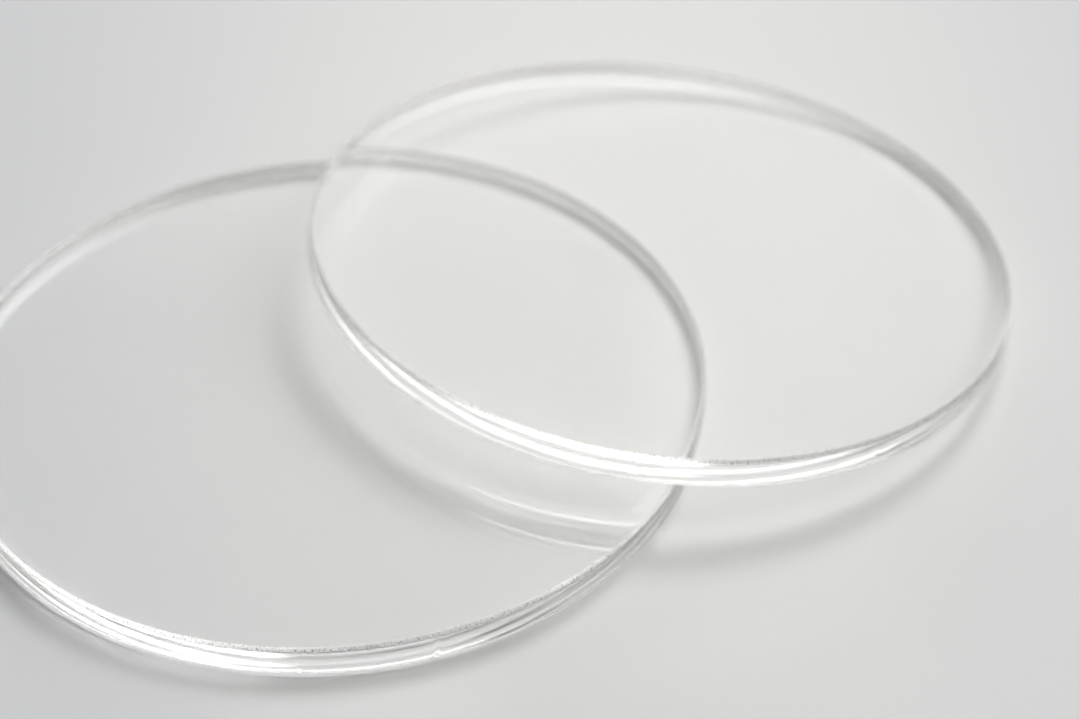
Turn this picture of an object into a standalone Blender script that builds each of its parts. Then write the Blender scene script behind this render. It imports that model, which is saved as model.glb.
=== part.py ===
"""A pair of flat watch glasses, one lying on the bench and its twin leaning on it.

Metres, +Z up. The origin is the centre of the lower glass's underside, on the bench.
+X points from the lower glass towards the edge that the leaning glass stands on.
"""

import math

import bpy

# One glass. Both glasses have the same size.
GLASS_DIAMETER = 0.070
GLASS_THICKNESS = 0.003
CHAMFER = 0.0003
ARRIS_RADIUS = 0.0001
EDGE_BULGE = 0.00012

# How the leaning glass stands.
SUPPORT_SPAN = 0.036
CONTACT_GAP = 0.0003

# Fineness of the turned shape.
TURN_STEPS = 120
ARRIS_STEPS = 2
EDGE_STEPS = 6
MERGE_DISTANCE = 1e-6

# Clear soda-lime glass.
GLASS_TINT = (0.93, 0.96, 0.95, 1.0)
GLASS_ROUGHNESS = 0.02
GLASS_INDEX = 1.52

GLASS_RADIUS = GLASS_DIAMETER / 2
CHAMFER_TURN = math.radians(45)
# The edge between the chamfers is an arc that bulges outwards at mid-thickness.
SHOULDER_RADIUS = GLASS_RADIUS - EDGE_BULGE
EDGE_RISE = GLASS_THICKNESS / 2 - CHAMFER
EDGE_RADIUS = (EDGE_RISE**2 + EDGE_BULGE**2) / (2 * EDGE_BULGE)
# The rounded arris beside each flat face is an arc with its centre on this circle.
ARRIS_CIRCLE = SHOULDER_RADIUS - CHAMFER - ARRIS_RADIUS * math.tan(CHAMFER_TURN / 2)


def clear_scene():
    for item in list(bpy.data.objects):
        bpy.data.objects.remove(item, do_unlink=True)


def new_collection(name):
    collection = bpy.data.collections.new(name)
    bpy.context.scene.collection.children.link(collection)
    return collection


def clear_glass(name):
    """A polished, colourless glass."""
    material = bpy.data.materials.new(name)
    material.use_nodes = True
    surface = material.node_tree.nodes["Principled BSDF"]
    surface.inputs["Base Color"].default_value = GLASS_TINT
    surface.inputs["Roughness"].default_value = GLASS_ROUGHNESS
    surface.inputs["Metallic"].default_value = 0.0
    surface.inputs["IOR"].default_value = GLASS_INDEX
    surface.inputs["Transmission Weight"].default_value = 1.0
    material.diffuse_color = GLASS_TINT
    return material


def heading(start, end):
    """The direction of the line from start to end, as an angle."""
    return math.atan2(end[1] - start[1], end[0] - start[0])


def rounded_corner(before, corner, after, radius, steps):
    """Points of the arc that rounds off a corner of a line that turns to the right."""
    arriving = heading(before, corner)
    leaving = heading(corner, after)
    turn = math.remainder(arriving - leaving, math.tau)
    setback = radius * math.tan(turn / 2)
    start = (
        corner[0] - setback * math.cos(arriving),
        corner[1] - setback * math.sin(arriving),
    )
    centre = (
        start[0] + radius * math.sin(arriving),
        start[1] - radius * math.cos(arriving),
    )
    points = []
    for step in range(steps + 1):
        along = arriving - turn * step / steps
        x = centre[0] - radius * math.sin(along)
        z = centre[1] + radius * math.cos(along)
        points.append((x, z))
    return points


def edge_arc():
    """Points of the bulging edge, from the upper chamfer to the lower one, without its two ends."""
    reach = math.asin(EDGE_RISE / EDGE_RADIUS)
    points = []
    for step in range(1, EDGE_STEPS):
        angle = reach * (1 - 2 * step / EDGE_STEPS)
        x = GLASS_RADIUS - EDGE_RADIUS * (1 - math.cos(angle))
        z = GLASS_THICKNESS / 2 + EDGE_RADIUS * math.sin(angle)
        points.append((x, z))
    return points


def glass_outline():
    """Half of the glass's section, as (radius, height), from the top centre to the bottom centre."""
    upper = [(SHOULDER_RADIUS - CHAMFER, GLASS_THICKNESS), (SHOULDER_RADIUS, GLASS_THICKNESS - CHAMFER)]
    lower = [(SHOULDER_RADIUS, CHAMFER), (SHOULDER_RADIUS - CHAMFER, 0.0)]
    line = [(0.0, GLASS_THICKNESS)] + upper + edge_arc() + lower + [(0.0, 0.0)]
    outline = [line[0]]
    for before, point, after in zip(line, line[1:], line[2:]):
        if point in upper + lower:
            outline += rounded_corner(before, point, after, ARRIS_RADIUS, ARRIS_STEPS)
        else:
            outline.append(point)
    outline.append(line[-1])
    return outline


def watch_glass(name, collection, material):
    """One glass, turned about its own Z axis, with the centre of its underside at its origin."""
    outline = glass_outline()
    points = [(radius, 0.0, height) for radius, height in outline]
    edges = [(index, index + 1) for index in range(len(points) - 1)]
    mesh = bpy.data.meshes.new(name)
    mesh.from_pydata(points, edges, [])
    mesh.materials.append(material)
    glass = bpy.data.objects.new(name, mesh)
    collection.objects.link(glass)

    turned = glass.modifiers.new("turned", "SCREW")
    turned.axis = "Z"
    turned.steps = TURN_STEPS
    turned.render_steps = TURN_STEPS
    turned.use_merge_vertices = True
    turned.merge_threshold = MERGE_DISTANCE
    turned.use_smooth_shade = True

    # Keeps the two faces flat in shading while the arrises stay soft.
    glass.modifiers.new("flat_faces", "WEIGHTED_NORMAL")
    return glass


def lean_angle():
    """Tilt at which the leaning glass clears the lower rim by CONTACT_GAP and stands on the bench.

    The underside passes above the lower glass's arris arc and below its own arris arc, so the
    line between the two arc centres crosses it at a small angle, which adds to that line's slope.
    """
    drop = GLASS_THICKNESS - 2 * ARRIS_RADIUS
    centre_distance = math.hypot(SUPPORT_SPAN, drop)
    slope = math.atan2(drop, SUPPORT_SPAN)
    crossing = math.asin((2 * ARRIS_RADIUS + CONTACT_GAP) / centre_distance)
    return slope + crossing


def add_lean_pivot(collection):
    """The point of the leaning glass that stands on the bench, turned by the lean."""
    pivot = bpy.data.objects.new("leaning_glass_foot", None)
    pivot.empty_display_size = GLASS_THICKNESS
    pivot.location = (ARRIS_CIRCLE + SUPPORT_SPAN, 0.0, ARRIS_RADIUS)
    pivot.rotation_euler = (0.0, lean_angle(), 0.0)
    collection.objects.link(pivot)
    return pivot


def build():
    clear_scene()
    collection = new_collection("watch_glass_pair")
    watch_glass("lower_watch_glass", collection, clear_glass("lower_glass_clear"))
    leaning = watch_glass("leaning_watch_glass", collection, clear_glass("leaning_glass_clear"))
    leaning.parent = add_lean_pivot(collection)
    leaning.location = (-ARRIS_CIRCLE, 0.0, -ARRIS_RADIUS)


build()
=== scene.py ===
"""Looks of the watch glass pair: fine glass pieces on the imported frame, a pale bench and soft light."""

import math

import bmesh
import bpy
import numpy as np
from mathutils import Matrix, Vector, noise


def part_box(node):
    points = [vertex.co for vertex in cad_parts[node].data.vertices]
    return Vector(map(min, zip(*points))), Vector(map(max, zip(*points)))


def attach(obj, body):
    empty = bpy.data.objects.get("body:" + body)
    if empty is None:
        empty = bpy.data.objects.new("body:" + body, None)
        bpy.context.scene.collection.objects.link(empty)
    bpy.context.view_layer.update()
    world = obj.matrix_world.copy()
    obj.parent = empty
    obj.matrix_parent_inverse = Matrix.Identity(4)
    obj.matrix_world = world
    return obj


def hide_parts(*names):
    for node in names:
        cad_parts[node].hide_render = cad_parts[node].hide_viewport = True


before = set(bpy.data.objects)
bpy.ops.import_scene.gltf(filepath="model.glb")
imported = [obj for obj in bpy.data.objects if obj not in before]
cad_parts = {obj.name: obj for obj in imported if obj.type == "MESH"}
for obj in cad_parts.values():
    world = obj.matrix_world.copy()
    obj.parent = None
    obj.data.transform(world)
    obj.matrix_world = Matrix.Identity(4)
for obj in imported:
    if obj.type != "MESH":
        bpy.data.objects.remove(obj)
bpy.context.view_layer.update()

MM = 0.001

# The rim's section. The radius and thickness of a glass come from the frame.
CHAMFER = 0.3 * MM
BULGE = 0.12 * MM
ROUND_REACH = 0.05 * MM
ROUND_STEPS = 3
WALL_STEPS = 14
EDGE_STRAY = 0.022 * MM
TURN_STEPS = 1800

# The edge's hand-ground wander is a sum of noises: cells in a radius, weight, seed offset.
WANDER_NOISES = (
    (9.0, 0.5, 0.0),
    (45.0, 0.9, 7.0),
    (150.0, 0.8, 13.0),
)
SIDE_SEED = 20.0
DOWNWARD_SEED = 5.0

# The nominal rim, which chips and patterns round the rim are measured on.
RIM_RADIUS = 35.0 * MM

# Small chips in the rims: heading, side (1 top, -1 bottom), width and depth.
LOWER_NICKS = (
    (241.0, -1.0, 0.45 * MM, 0.05 * MM),
    (259.5, -1.0, 0.60 * MM, 0.08 * MM),
)
LEANING_NICKS = (
    (234.5, 1.0, 0.50 * MM, 0.06 * MM),
    (271.0, -1.0, 0.40 * MM, 0.05 * MM),
)

# The order of a glass's material slots.
FACE_SLOT = 0
WALL_SLOT = 1
CHAMFER_SLOT = 2

# Camera: where it looks on the bench, how far away it is, and which way it faces.
CAMERA_TARGET = Vector((19.9, -4.8, 0.0)) * MM
CAMERA_DISTANCE = 193.4 * MM
CAMERA_HEADING = -30.1
CAMERA_ELEVATION = 39.7
CAMERA_ROLL = 1.15
CAMERA_LENS = 66.7
CAMERA_SENSOR = 36.0
CAMERA_APERTURE = 17.0
CAMERA_FOCUS = Vector((-3.0, -35.0, 3.0)) * MM
CAMERA_CLIP = (0.01, 10.0)

# Large soft key light, high behind the pair and to the right.
KEY_HEADING = 38.0
KEY_ELEVATION = 51.0
KEY_DISTANCE = 2.0
KEY_SIZE = 0.9
KEY_POWER = 12.0

# Panels of daylight: heading, elevation, width, height, softness (degrees), radiance, tint.
NEUTRAL = (1.0, 1.0, 0.99)
WARM = (1.0, 0.99, 0.96)
COOL = (0.98, 0.99, 1.0)
PANELS = (
    (38.0, 46.0, 36.0, 20.0, 4.0, 1.40, NEUTRAL),      # upper window behind the glasses
    (70.0, 46.0, 28.0, 20.0, 4.0, 0.75, COOL),         # its dimmer, bluer left part
    (53.0, 30.0, 62.0, 12.0, 4.0, 1.00, NEUTRAL),      # lower window, which the faces mirror
    (104.0, 42.0, 22.0, 36.0, 3.0, 0.50, NEUTRAL),     # narrow pane, left of a dark upright
    (45.0, 12.0, 84.0, 18.0, 6.0, 0.70, WARM),         # pale glow low behind the glasses
    (68.0, 12.0, 28.0, 12.0, 4.0, 4.00, WARM),         # small bright patch in that glow
    (-22.0, 42.0, 84.0, 36.0, 10.0, 1.90, NEUTRAL),    # wide window to the right
    (-65.0, 62.0, 44.0, 20.0, 14.0, 1.20, WARM),       # high light, right of the camera
    (211.0, 23.0, 42.0, 26.0, 14.0, 0.30, COOL),       # dim wall behind the camera, to its left
    (0.0, 0.0, 400.0, 24.0, 10.0, 0.65, NEUTRAL),      # pale walls, all the way round
)
AMBIENT = 0.06
BACKDROP = 0.7

# Materials. Pattern scales are per millimetre, and stretches are per axis, or along and up the rim.
# A dust speck's size is a share of its cell.
GLASS_IOR = 1.5
CLEAR_TINT = (0.991, 0.990, 0.985, 1.0)
GROUND_TINT = (0.955, 0.953, 0.948, 1.0)
DUST_TINT = (0.80, 0.79, 0.76, 1.0)
DUST_PER_MM = 0.30
DUST_SIZE = 0.018
DUST_CLEARNESS = 0.35
POLISH_PER_MM = 0.07
POLISH_HEIGHT = 0.0012 * MM
HAIR_STRETCH = (0.35, 11.0, 1.0)
HAIR_HEIGHT = 0.0006 * MM
SMEAR_PER_MM = 0.22
SMEAR_ROUGHNESS = 0.010
GRIND_STRETCH = (0.12, 7.0)
GRIND_HEIGHT = 0.0025 * MM
WAVE_STRETCH = (0.22, 0.6)
WAVE_HEIGHT = 0.010 * MM
WALL_ROUGHNESS = (0.08, 0.18)
SPECKLE_PER_MM = 5.0
PITS_PER_MM = 9.0
PIT_HEIGHT = 0.003 * MM
CHAMFER_ROUGHNESS = (0.26, 0.42)
# Painted light and shade on the bench: lighter in a broad oval under the glasses, darker and cooler towards
# the sides.
BENCH_SHADED_EDGE_TONE = (0.730, 0.737, 0.754, 1.0)
BENCH_LIT_MIDDLE_TONE = (0.900, 0.897, 0.886, 1.0)
BENCH_LIGHT_POOL_CENTRE = Vector((43.0, 16.0, 0.0)) * MM
BENCH_LIGHT_POOL_REACH = Vector((84.0, 180.0, 1000.0)) * MM
BENCH_ROUGHNESS = 0.62
FIBRE_STRETCH = (1.6, 3.4, 1.0)
FIBRE_HEIGHT = 0.02 * MM
FLECKS_PER_MM = 2.3

# The bench lies a hair below the glass, so that their surfaces never coincide.
FLOOR_SIZE = 3.0
FLOOR_DROP = 0.05 * MM

# How often light may pass through or off the glass, and off the bench.
GLASS_BOUNCES = 48
BENCH_BOUNCES = 3


def direction(heading, elevation):
    """Unit vector at a heading measured from +X towards +Y and an elevation, both in degrees."""
    level = math.cos(math.radians(elevation))
    return Vector((
        level * math.cos(math.radians(heading)),
        level * math.sin(math.radians(heading)),
        math.sin(math.radians(elevation)),
    ))


def add_node(tree, kind, settings=None, **inputs):
    """Adds a shader node. An input is a value, or another node's output to link from."""
    made = tree.nodes.new(kind)
    for name, value in (settings or {}).items():
        setattr(made, name, value)
    for name, value in inputs.items():
        by_index = name[0] == "i" and name[1:].isdigit()
        socket = made.inputs[int(name[1:]) if by_index else name.replace("_", " ")]
        if isinstance(value, bpy.types.NodeSocket):
            tree.links.new(value, socket)
        else:
            socket.default_value = value
    return made


def new_material(name):
    material = bpy.data.materials.new(name)
    material.use_nodes = True
    material.node_tree.nodes.clear()
    return material, material.node_tree


def millimetres(tree, stretch):
    """Coordinates on the piece itself, in millimetres, stretched along each axis."""
    place = add_node(tree, "ShaderNodeTexCoord")
    return add_node(
        tree, "ShaderNodeMapping", {"vector_type": "POINT"},
        Vector=place.outputs["Object"], Scale=[axis / MM for axis in stretch],
    ).outputs["Vector"]


def round_the_rim(tree, along, up):
    """Coordinates unrolled round a rim: distance along it and height, in millimetres, each stretched."""
    place = add_node(tree, "ShaderNodeTexCoord")
    parts = add_node(tree, "ShaderNodeSeparateXYZ", i0=place.outputs["Object"])
    angle = add_node(
        tree, "ShaderNodeMath", {"operation": "ARCTAN2"}, i0=parts.outputs["Y"], i1=parts.outputs["X"]
    )
    distance = add_node(
        tree, "ShaderNodeMath", {"operation": "MULTIPLY"}, i0=angle.outputs[0], i1=RIM_RADIUS / MM * along
    )
    height = add_node(
        tree, "ShaderNodeMath", {"operation": "MULTIPLY"}, i0=parts.outputs["Z"], i1=up / MM
    )
    return add_node(
        tree, "ShaderNodeCombineXYZ", X=distance.outputs[0], Y=height.outputs[0]
    ).outputs["Vector"]


def spread(tree, value, low, high, to_low, to_high):
    """Maps a value smoothly from one range onto another."""
    return add_node(
        tree, "ShaderNodeMapRange", {"interpolation_type": "SMOOTHSTEP"},
        Value=value, From_Min=low, From_Max=high, To_Min=to_low, To_Max=to_high,
    ).outputs["Result"]


def grain(tree, vector, scale, detail):
    return add_node(
        tree, "ShaderNodeTexNoise", Vector=vector, Scale=scale, Detail=detail, Roughness=0.6
    ).outputs["Fac"]


def finish_glass(material, tree, color, roughness, clear, normal):
    output = add_node(tree, "ShaderNodeOutputMaterial")
    surface = add_node(
        tree, "ShaderNodeBsdfPrincipled",
        Base_Color=color, Roughness=roughness, IOR=GLASS_IOR, Transmission_Weight=clear, Normal=normal,
    )
    tree.links.new(surface.outputs[0], output.inputs["Surface"])
    return material


def face_material():
    """Polished flat: clear, with a faint polish ripple, hair scratches and a few specks of dust."""
    material, tree = new_material("polished_face")
    flat = millimetres(tree, (1.0, 1.0, 1.0))
    cells = add_node(tree, "ShaderNodeTexVoronoi", Vector=flat, Scale=DUST_PER_MM, Randomness=1.0)
    pick = add_node(tree, "ShaderNodeSeparateColor", Color=cells.outputs["Color"])
    size = spread(tree, pick.outputs["Red"], 0.55, 1.0, 0.0, DUST_SIZE)
    speck = add_node(
        tree, "ShaderNodeMath", {"operation": "LESS_THAN"}, i0=cells.outputs["Distance"], i1=size
    ).outputs[0]
    color = add_node(
        tree, "ShaderNodeMix", {"data_type": "RGBA"}, i0=speck, i6=CLEAR_TINT, i7=DUST_TINT
    ).outputs[2]
    clear = spread(tree, speck, 0.0, 1.0, 1.0, DUST_CLEARNESS)
    ripple = grain(tree, flat, POLISH_PER_MM, 2.0)
    hairs = grain(tree, millimetres(tree, HAIR_STRETCH), 1.0, 2.0)
    scratch = spread(tree, hairs, 0.70, 0.80, 0.0, 1.0)
    smear = spread(tree, grain(tree, flat, SMEAR_PER_MM, 4.0), 0.45, 0.75, 0.0, SMEAR_ROUGHNESS)
    first = add_node(tree, "ShaderNodeBump", Strength=1.0, Distance=POLISH_HEIGHT, Height=ripple)
    second = add_node(
        tree, "ShaderNodeBump", Strength=0.25, Distance=HAIR_HEIGHT, Height=scratch, Normal=first.outputs[0]
    )
    return finish_glass(material, tree, color, smear, clear, second.outputs[0])


def wall_material():
    """Polished edge: clear, with fine lines left by the grinding wheel running round it."""
    material, tree = new_material("polished_wall")
    lines = grain(tree, round_the_rim(tree, *GRIND_STRETCH), 1.0, 3.0)
    waves = grain(tree, round_the_rim(tree, *WAVE_STRETCH), 1.0, 2.0)
    rough = spread(tree, lines, 0.35, 0.75, *WALL_ROUGHNESS)
    first = add_node(tree, "ShaderNodeBump", Strength=1.0, Distance=WAVE_HEIGHT, Height=waves)
    second = add_node(
        tree, "ShaderNodeBump", Strength=0.6, Distance=GRIND_HEIGHT, Height=lines, Normal=first.outputs[0]
    )
    return finish_glass(material, tree, CLEAR_TINT, rough, 1.0, second.outputs[0])


def chamfer_material():
    """Ground arris: frosted and speckled, with small pits."""
    material, tree = new_material("ground_chamfer")
    speckle = grain(tree, round_the_rim(tree, 1.0, 1.0), SPECKLE_PER_MM, 4.0)
    pits = grain(tree, round_the_rim(tree, 1.0, 1.0), PITS_PER_MM, 2.0)
    rough = spread(tree, speckle, 0.35, 0.70, *CHAMFER_ROUGHNESS)
    color = add_node(
        tree, "ShaderNodeMix", {"data_type": "RGBA"},
        i0=spread(tree, speckle, 0.42, 0.62, 0.0, 1.0), i6=CLEAR_TINT, i7=GROUND_TINT,
    ).outputs[2]
    bump = add_node(tree, "ShaderNodeBump", Strength=0.3, Distance=PIT_HEIGHT, Height=pits)
    return finish_glass(material, tree, color, rough, 1.0, bump.outputs[0])


def bench_material():
    """Smooth pale board: a faint fibre grain, and painted light and shade: lighter in a broad oval under
    the glasses, darker and cooler towards the sides.
    """
    material, tree = new_material("pale_bench")
    output = add_node(tree, "ShaderNodeOutputMaterial")
    flat = millimetres(tree, (1.0, 1.0, 1.0))
    fibre = grain(tree, millimetres(tree, FIBRE_STRETCH), 1.0, 4.0)
    place = add_node(tree, "ShaderNodeTexCoord")
    # Painted light: an oval turned with the camera's heading, lighter in its middle and shaded towards its
    # edge.
    light_pool_oval = add_node(
        tree, "ShaderNodeMapping", {"vector_type": "TEXTURE"},
        Vector=place.outputs["Object"], Location=BENCH_LIGHT_POOL_CENTRE, Scale=BENCH_LIGHT_POOL_REACH,
        Rotation=(0.0, 0.0, math.radians(CAMERA_HEADING)),
    ).outputs["Vector"]
    away = add_node(tree, "ShaderNodeVectorMath", {"operation": "LENGTH"}, i0=light_pool_oval).outputs["Value"]
    painted_light = spread(tree, away, 0.1, 1.0, 1.0, 0.0)
    fleck = spread(tree, grain(tree, flat, FLECKS_PER_MM, 2.0), 0.74, 0.80, 0.0, 1.0)
    shade = add_node(
        tree, "ShaderNodeMath", {"operation": "MULTIPLY"},
        i0=spread(tree, fibre, 0.25, 0.75, 0.985, 1.0), i1=spread(tree, fleck, 0.0, 1.0, 1.0, 0.94),
    ).outputs[0]
    tone = add_node(
        tree, "ShaderNodeMix", {"data_type": "RGBA"}, i0=painted_light, i6=BENCH_SHADED_EDGE_TONE, i7=BENCH_LIT_MIDDLE_TONE
    ).outputs[2]
    color = add_node(
        tree, "ShaderNodeVectorMath", {"operation": "SCALE"}, i0=tone, Scale=shade
    ).outputs["Vector"]
    bump = add_node(tree, "ShaderNodeBump", Strength=0.25, Distance=FIBRE_HEIGHT, Height=fibre)
    surface = add_node(
        tree, "ShaderNodeBsdfPrincipled",
        Base_Color=color, Roughness=BENCH_ROUGHNESS, Normal=bump.outputs[0],
    )
    tree.links.new(surface.outputs[0], output.inputs["Surface"])
    return material


def seat_of(node):
    """The centre of a glass and its upright axes, from its CAD mesh."""
    up = max(node.data.polygons, key=lambda polygon: polygon.area).normal.copy()
    if up.z < 0:
        up.negate()
    across = up.cross(Vector((1.0, 0.0, 0.0))).normalized()
    along = across.cross(up)
    axes = Matrix((along, across, up))
    points = np.array([axes @ vertex.co for vertex in node.data.vertices])
    middle = Vector((points.min(axis=0) + points.max(axis=0)) / 2)
    seat = axes.transposed().to_4x4()
    seat.translation = axes.transposed() @ middle
    return seat


def corner(point, before, after):
    """A small round at a corner of the outline, between its two neighbours."""
    points = []
    for step in range(ROUND_STEPS + 1):
        share = step / ROUND_STEPS
        start = point + (before - point).normalized() * ROUND_REACH
        end = point + (after - point).normalized() * ROUND_REACH
        points.append(start.lerp(point, share).lerp(point.lerp(end, share), share))
    return points


def edge_wander(angle, seed):
    """How far a hand-ground edge strays at this angle round the rim, as a share of EDGE_STRAY."""
    spot = Vector((math.cos(angle), math.sin(angle), 0.0))
    stray = 0.0
    for cells, weight, offset in WANDER_NOISES:
        stray += weight * noise.noise(spot * cells + Vector((0.0, 0.0, seed + offset)))
    return stray


def nick_depth(angle, nicks, side):
    """Depth of the chip at this angle, for the chips on one side of the rim."""
    depth = 0.0
    for heading, nick_side, width, deep in nicks:
        away = (math.degrees(angle) - heading + 180.0) % 360.0 - 180.0
        reach = abs(math.radians(away)) * RIM_RADIUS / (width / 2)
        if nick_side == side and reach < 1.0:
            depth = max(depth, deep * (1.0 - reach * reach))
    return depth


def rim_outline(radius, thickness, angle, seed, nicks):
    """Rim section from the top face to the bottom one, as points and their material slots.

    A point is its radius and its height above mid-thickness.
    """
    half = thickness / 2
    sides = []
    for side in (1.0, -1.0):
        inward = CHAMFER + EDGE_STRAY * edge_wander(angle, seed + SIDE_SEED * side)
        downward = CHAMFER + EDGE_STRAY * edge_wander(angle, seed + SIDE_SEED * side + DOWNWARD_SEED)
        chip = nick_depth(angle, nicks, side)
        face_end = Vector((radius - BULGE - inward, half))
        wall_end = Vector((radius - BULGE - chip, half - downward - chip))
        sides.append((face_end, wall_end))
    top_end, top_wall = sides[0]
    low_end = Vector((sides[1][0].x, -sides[1][0].y))
    low_wall = Vector((sides[1][1].x, -sides[1][1].y))
    wall = []
    for step in range(WALL_STEPS + 1):
        share = step / WALL_STEPS
        point = top_wall.lerp(low_wall, share)
        # A parabola that is BULGE high at mid-thickness.
        bulge = BULGE * 4.0 * share * (1.0 - share)
        wall.append(Vector((point.x + bulge, point.y)))
    inwards = Vector((-1.0, 0.0))
    outline = [(point, CHAMFER_SLOT) for point in corner(top_end, top_end + inwards, top_wall)]
    outline += [(point, WALL_SLOT) for point in corner(top_wall, top_end, wall[1])]
    outline += [(point, WALL_SLOT) for point in wall[1:-1]]
    outline += [(point, CHAMFER_SLOT) for point in corner(low_wall, wall[-2], low_end)]
    outline += [(point, CHAMFER_SLOT) for point in corner(low_end, low_wall, low_end + inwards)]
    return outline


def glass_piece(name, node_name, body, radius, thickness, seed, nicks):
    """A turned glass with a hand-ground rim, seated where the CAD node is."""
    shape = bmesh.new()
    rings = []
    for step in range(TURN_STEPS):
        angle = math.tau * step / TURN_STEPS
        outline = rim_outline(radius, thickness, angle, seed, nicks)
        ring = []
        for point, slot in outline:
            ring.append(shape.verts.new((point.x * math.cos(angle), point.x * math.sin(angle), point.y)))
        rings.append(ring)
    slots = [slot for point, slot in outline]
    for step in range(TURN_STEPS):
        here = rings[step]
        there = rings[(step + 1) % TURN_STEPS]
        for row, slot in enumerate(slots[:-1]):
            face = shape.faces.new((here[row], here[row + 1], there[row + 1], there[row]))
            face.smooth = True
            face.material_index = slot
    top = shape.faces.new([ring[0] for ring in rings])
    bottom = shape.faces.new([ring[-1] for ring in reversed(rings)])
    for face in (top, bottom):
        face.smooth = False
        face.material_index = FACE_SLOT
    bmesh.ops.recalc_face_normals(shape, faces=shape.faces)
    mesh = bpy.data.meshes.new(name)
    shape.to_mesh(mesh)
    shape.free()
    piece = bpy.data.objects.new(name, mesh)
    bpy.context.scene.collection.objects.link(piece)
    piece.matrix_world = seat_of(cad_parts[node_name])
    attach(piece, body)
    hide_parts(node_name)
    return piece


def add_floor():
    bpy.ops.mesh.primitive_plane_add(size=FLOOR_SIZE, location=(0.0, 0.0, -FLOOR_DROP))
    floor = bpy.context.object
    floor.name = "bench"
    floor.data.materials.append(bench_material())


def add_camera():
    heading = math.radians(CAMERA_HEADING)
    elevation = math.radians(CAMERA_ELEVATION)
    back = Vector((
        math.sin(heading) * math.cos(elevation),
        -math.cos(heading) * math.cos(elevation),
        math.sin(elevation),
    ))
    data = bpy.data.cameras.new("camera")
    data.lens = CAMERA_LENS
    data.sensor_width = CAMERA_SENSOR
    data.clip_start, data.clip_end = CAMERA_CLIP
    data.dof.use_dof = True
    data.dof.aperture_fstop = CAMERA_APERTURE
    camera = bpy.data.objects.new("camera", data)
    bpy.context.scene.collection.objects.link(camera)
    camera.rotation_mode = "QUATERNION"
    turn = (-back).to_track_quat("-Z", "Y")
    roll = Matrix.Rotation(math.radians(CAMERA_ROLL), 3, "Z").to_quaternion()
    camera.rotation_quaternion = turn @ roll
    camera.location = CAMERA_TARGET + back * CAMERA_DISTANCE
    focus = bpy.data.objects.new("focus", None)
    focus.location = CAMERA_FOCUS
    bpy.context.scene.collection.objects.link(focus)
    data.dof.focus_object = focus
    bpy.context.scene.camera = camera


def add_key_light():
    data = bpy.data.lights.new("key_softbox", "AREA")
    data.shape = "DISK"
    data.size = KEY_SIZE
    data.energy = KEY_POWER
    lamp = bpy.data.objects.new("key_softbox", data)
    bpy.context.scene.collection.objects.link(lamp)
    toward = direction(KEY_HEADING, KEY_ELEVATION)
    lamp.location = toward * KEY_DISTANCE
    lamp.rotation_mode = "QUATERNION"
    lamp.rotation_quaternion = (-toward).to_track_quat("-Z", "Y")


def soft_band(tree, angle, middle, width, softness):
    """1 where an angle lies inside a band, falling off smoothly at its edges.

    The angle is a node's output in radians, and the band is given in degrees.
    """
    away = add_node(tree, "ShaderNodeMath", {"operation": "SUBTRACT"}, i0=angle, i1=math.radians(middle))
    size = add_node(tree, "ShaderNodeMath", {"operation": "ABSOLUTE"}, i0=away.outputs[0])
    inner = math.radians((width - softness) / 2)
    outer = math.radians((width + softness) / 2)
    return spread(tree, size.outputs[0], inner, outer, 1.0, 0.0)


def add_panel(tree, place, behind, panel):
    """Adds one soft rectangle of light to the sky that is behind it."""
    heading, elevation, width, height, softness, radiance, tint = panel
    ahead = add_node(
        tree, "ShaderNodeVectorMath", {"operation": "DOT_PRODUCT"},
        i0=place, i1=direction(heading, 0.0),
    )
    aside = add_node(
        tree, "ShaderNodeVectorMath", {"operation": "DOT_PRODUCT"},
        i0=place, i1=direction(heading + 90.0, 0.0),
    )
    turn = add_node(
        tree, "ShaderNodeMath", {"operation": "ARCTAN2"},
        i0=aside.outputs["Value"], i1=ahead.outputs["Value"],
    )
    parts = add_node(tree, "ShaderNodeSeparateXYZ", i0=place)
    rise = add_node(tree, "ShaderNodeMath", {"operation": "ARCSINE"}, i0=parts.outputs["Z"])
    across = soft_band(tree, turn.outputs[0], 0.0, width, softness)
    upright = soft_band(tree, rise.outputs[0], elevation, height, softness)
    shape = add_node(tree, "ShaderNodeMath", {"operation": "MULTIPLY"}, i0=across, i1=upright)
    light = add_node(
        tree, "ShaderNodeVectorMath", {"operation": "SCALE"},
        i0=[radiance * channel for channel in tint], Scale=shape.outputs[0],
    )
    return add_node(
        tree, "ShaderNodeVectorMath", {"operation": "ADD"}, i0=behind, i1=light.outputs["Vector"]
    ).outputs["Vector"]


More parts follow.
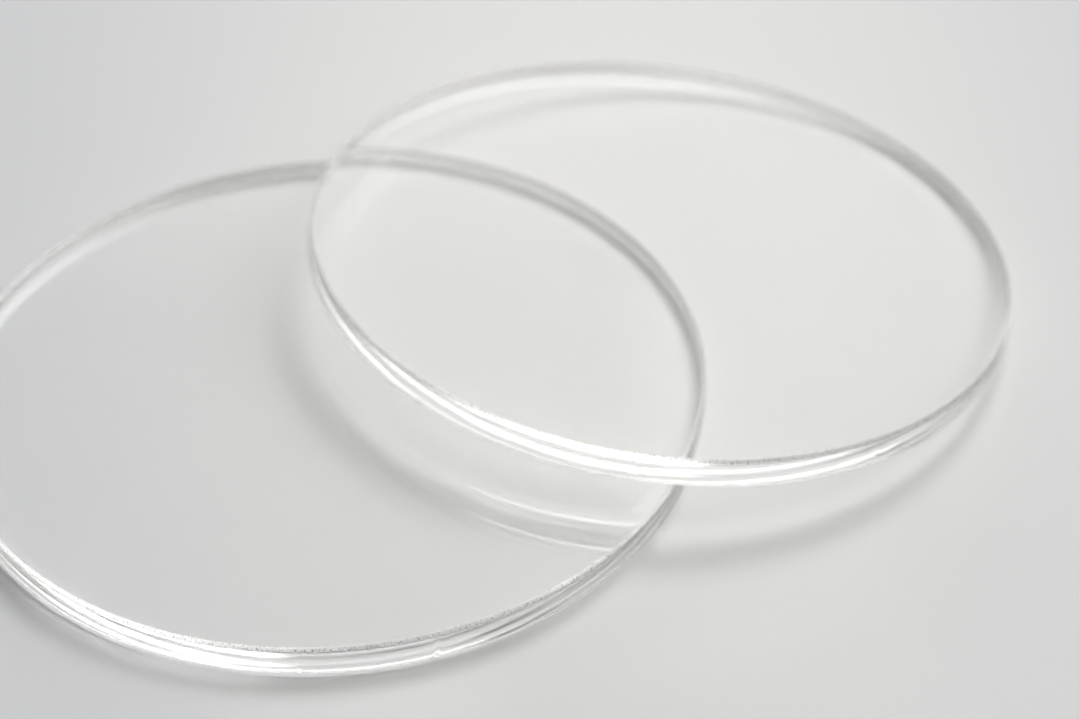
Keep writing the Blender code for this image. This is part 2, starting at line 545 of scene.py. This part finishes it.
def add_world():
    """Soft panels of daylight round the bench. Seen directly, the room is a plain pale grey."""
    world = bpy.data.worlds.new("studio")
    bpy.context.scene.world = world
    world.use_nodes = True
    tree = world.node_tree
    tree.nodes.clear()
    output = add_node(tree, "ShaderNodeOutputWorld")
    place = add_node(tree, "ShaderNodeTexCoord").outputs["Generated"]
    sky = add_node(tree, "ShaderNodeCombineXYZ", X=AMBIENT, Y=AMBIENT, Z=AMBIENT).outputs["Vector"]
    for panel in PANELS:
        sky = add_panel(tree, place, sky, panel)
    rays = add_node(tree, "ShaderNodeLightPath")
    seen = add_node(
        tree, "ShaderNodeMix", {"data_type": "RGBA"},
        i0=rays.outputs["Is Camera Ray"], i6=sky, i7=(BACKDROP, BACKDROP, BACKDROP, 1.0),
    )
    background = add_node(tree, "ShaderNodeBackground", Color=seen.outputs[2], Strength=1.0)
    tree.links.new(background.outputs[0], output.inputs["Surface"])


def set_light_paths():
    """Lets light pass right through both glasses and gather on the bench behind them."""
    scene = bpy.context.scene
    scene.view_settings.view_transform = "Standard"
    cycles = scene.cycles
    cycles.max_bounces = GLASS_BOUNCES
    cycles.transmission_bounces = GLASS_BOUNCES
    cycles.glossy_bounces = GLASS_BOUNCES
    cycles.diffuse_bounces = BENCH_BOUNCES
    cycles.caustics_reflective = True
    cycles.caustics_refractive = True
    cycles.blur_glossy = 0.0
    cycles.sample_clamp_indirect = 0.0
    cycles.use_adaptive_sampling = False
    cycles.use_denoising = True


lower_low, lower_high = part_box("lower_watch_glass")
glass_radius = (lower_high.x - lower_low.x) / 2
glass_thickness = lower_high.z - lower_low.z

materials = (face_material(), wall_material(), chamfer_material())
for piece_name, node_name, body, seed, nicks in (
    ("lower_glass_disc", "lower_watch_glass", "lower_glass", 1.0, LOWER_NICKS),
    ("leaning_glass_disc", "leaning_watch_glass", "leaning_glass", 50.0, LEANING_NICKS),
):
    piece = glass_piece(piece_name, node_name, body, glass_radius, glass_thickness, seed, nicks)
    for material in materials:
        piece.data.materials.append(material)

add_floor()
add_camera()
add_key_light()
add_world()
set_light_paths()
